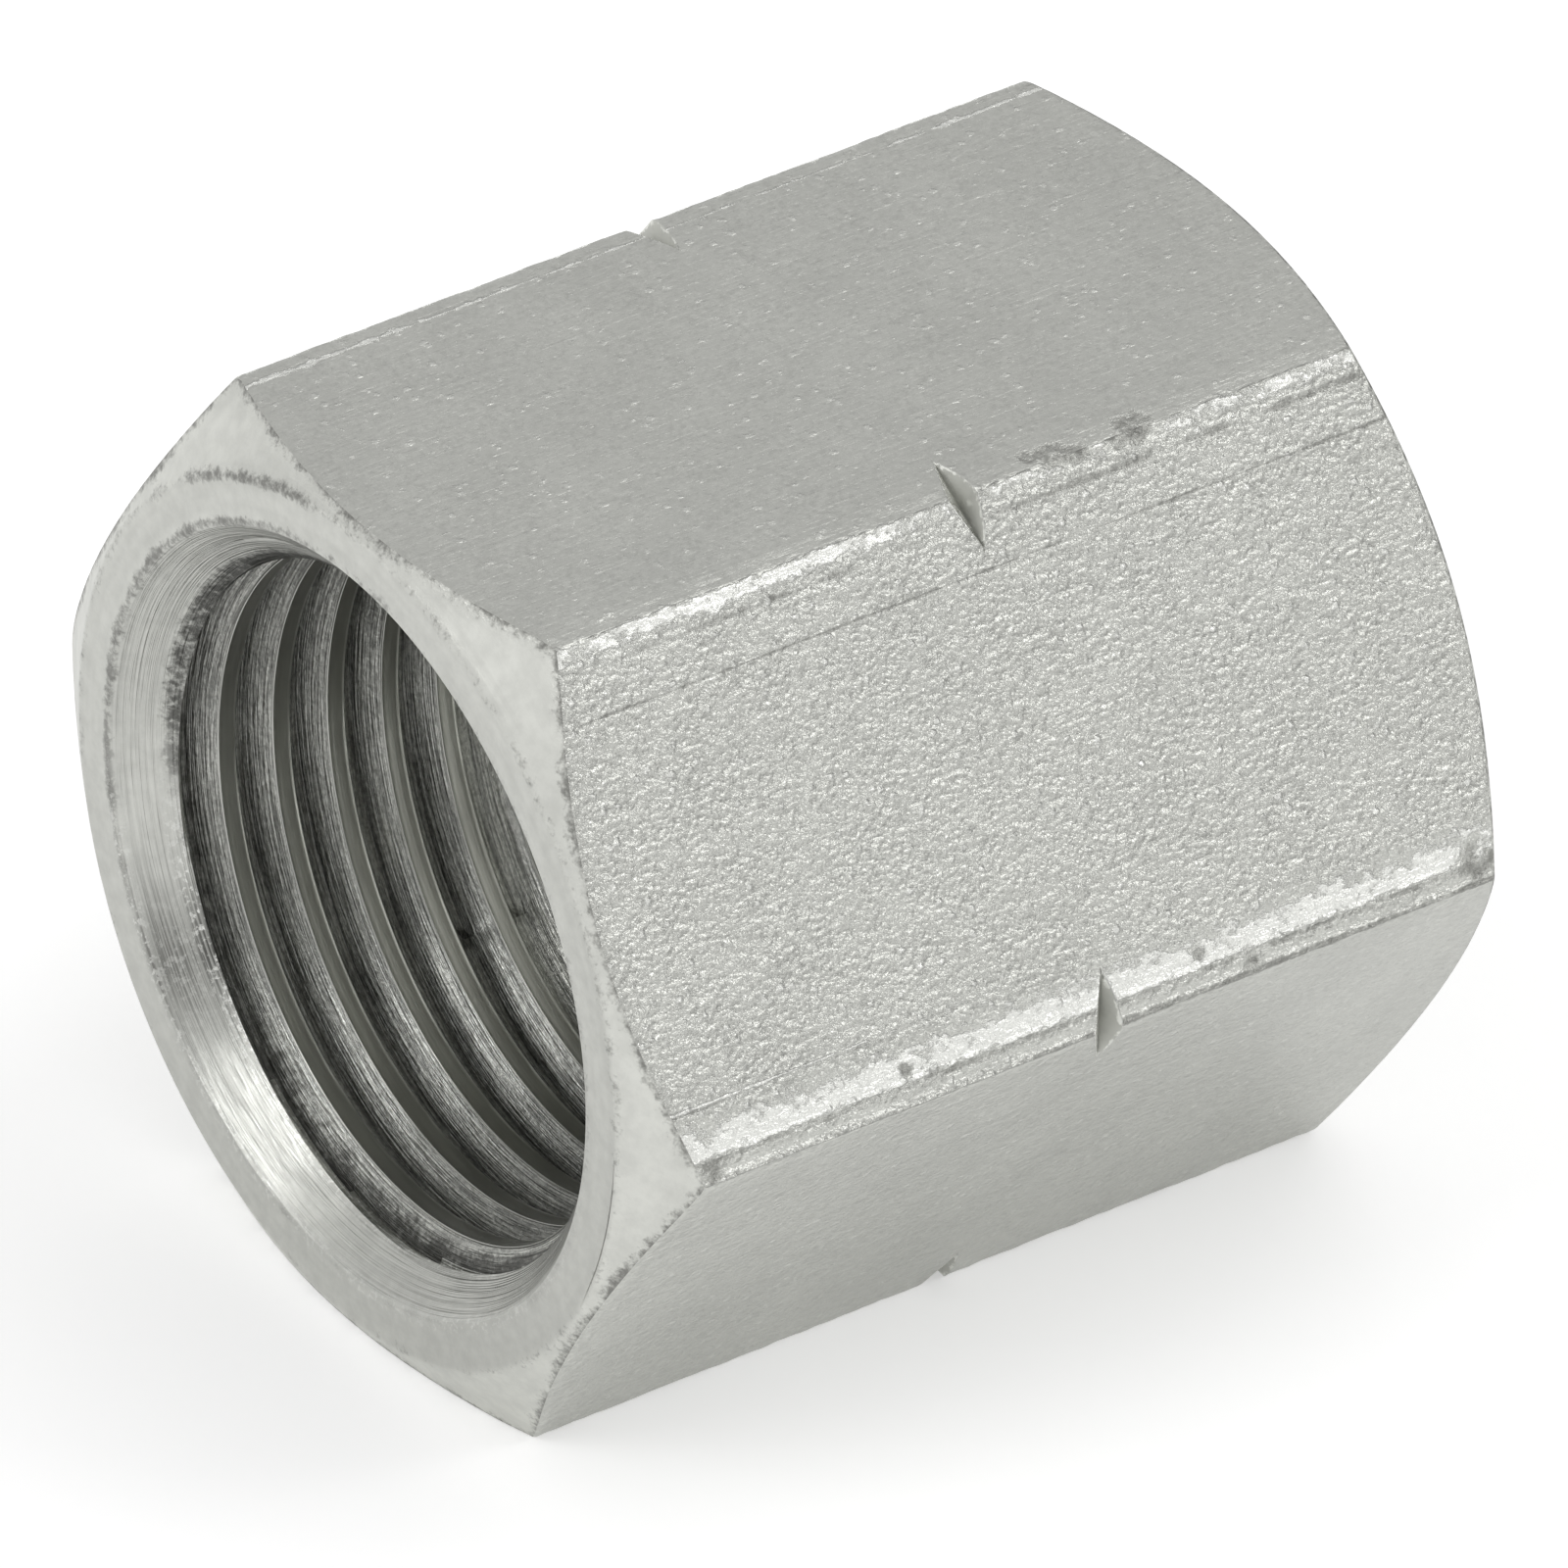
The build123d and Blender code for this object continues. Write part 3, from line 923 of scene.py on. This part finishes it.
# Painted shade: the streaks darker towards the roots of the groove
streaks_and_root_shade = times(tree, streaks_and_root_shade, times_plus(tree, painted_root_shade, -0.35, 1.0))
grains = cloud(tree, drawn_out(tree, here["Place"], 2.0), 7.0, 3.0, 0.7)
streaks_and_root_shade = times(tree, streaks_and_root_shade, ramp(tree, grains, 0.36, 0.64, 0.78, 1.2))
smooth = ramp(tree, cuts["Broad"], 0.3, 0.7, 0.9, 1.05)
tone = times_plus(tree, on_flank, minus(tree, streaks_and_root_shade, smooth), smooth)
first_turn = ramp(tree, here["Depth"], 2.2, 1.2, 0.0, 1.3)
mask = times(tree, first_turn, ramp(tree, here["Radius"], 8.3, 8.5))
torn = group_node(tree, torn_group, Mask=mask, Grain=5.0)
colour = blend_colour(tree, torn["Torn"], shaded(tree, ZINC, tone), TORN_THREAD)
rubbed = ramp(tree, here["Radius"], BORE_RADIUS - 0.003, BORE_RADIUS - 0.01)
rubbed = times(tree, rubbed, ramp(tree, cuts["Broad"], 0.35, 0.6))
tree.links.new(blend_colour(tree, rubbed, colour, RUBBED_ZINC), shader.inputs["Base Color"])
shader.inputs["Roughness"].default_value = 0.3
height = times(tree, cuts["Marks"], times_plus(tree, on_flank, 0.8, 0.1))
height = times_plus(tree, grains, times(tree, on_flank, 0.5), height)
add_bump(tree, shader, height, TAPPED_PEAK)

# --- Floor and light -----------------------------------------------------------------
# A plain white floor, bright enough to vanish into the white background but for the
# part's shadow, under soft studio light from three large lamps.

FLOOR_HALF = 1.5
FLOOR_CORNERS = ((-1, -1), (1, -1), (1, 1), (-1, 1))
FLOOR_COLOUR = (0.85, 0.85, 0.85, 1)
FLOOR_GLOW = 0.35  # seen directly
FLOOR_GLOW_IN_METAL = 0.55  # of the direct glow, seen mirrored in the part
WORLD_STRENGTH = 0.64
LAMP_DISTANCE = 0.6

floor_mesh = bpy.data.meshes.new("floor")
floor_corners = [(x * FLOOR_HALF, y * FLOOR_HALF, 0) for x, y in FLOOR_CORNERS]
floor_mesh.from_pydata(floor_corners, [], [(0, 1, 2, 3)])
floor = bpy.data.objects.new("floor", floor_mesh)
bpy.context.scene.collection.objects.link(floor)
white = bpy.data.materials.new("white_floor")
white.use_nodes = True
tree = white.node_tree
tree.nodes.clear()
diffuse = add_node(tree, "ShaderNodeBsdfDiffuse", {"Color": FLOOR_COLOUR}).outputs[0]
path = add_node(tree, "ShaderNodeLightPath").outputs
seen = times_plus(tree, path["Is Glossy Ray"], FLOOR_GLOW_IN_METAL, path["Is Camera Ray"])
glow = add_node(tree, "ShaderNodeEmission", {"Strength": times(tree, seen, FLOOR_GLOW)}).outputs[0]
lit = add_node(tree, "ShaderNodeAddShader", {0: diffuse, 1: glow}).outputs[0]
add_node(tree, "ShaderNodeOutputMaterial", {"Surface": lit})
floor_mesh.materials.append(white)

world = bpy.data.worlds.new("studio")
bpy.context.scene.world = world
world.use_nodes = True
backdrop = world.node_tree.nodes["Background"]
backdrop.inputs["Color"].default_value = (1, 1, 1, 1)
backdrop.inputs["Strength"].default_value = WORLD_STRENGTH


def softbox(name, azimuth, elevation, size, power):
    """A square soft lamp that faces the part, placed as the camera is."""
    lamp = bpy.data.lights.new(name, "AREA")
    lamp.size = size
    lamp.energy = power
    place = bpy.data.objects.new(name, lamp)
    a, e = math.radians(azimuth), math.radians(elevation)
    towards = Vector((math.sin(a) * math.cos(e), -math.cos(a) * math.cos(e), math.sin(e)))
    facing = towards.to_track_quat("Z", "Y").to_matrix().to_4x4()
    place.matrix_world = Matrix.Translation(middle + towards * LAMP_DISTANCE) @ facing
    bpy.context.scene.collection.objects.link(place)


softbox("front_lamp", -8, 36, 0.3, 0.8)
softbox("top_lamp", 160, 62, 0.35, 0.56)
softbox("side_lamp", 135, 38, 0.16, 0.32)

bpy.context.scene.view_settings.view_transform = "Standard"
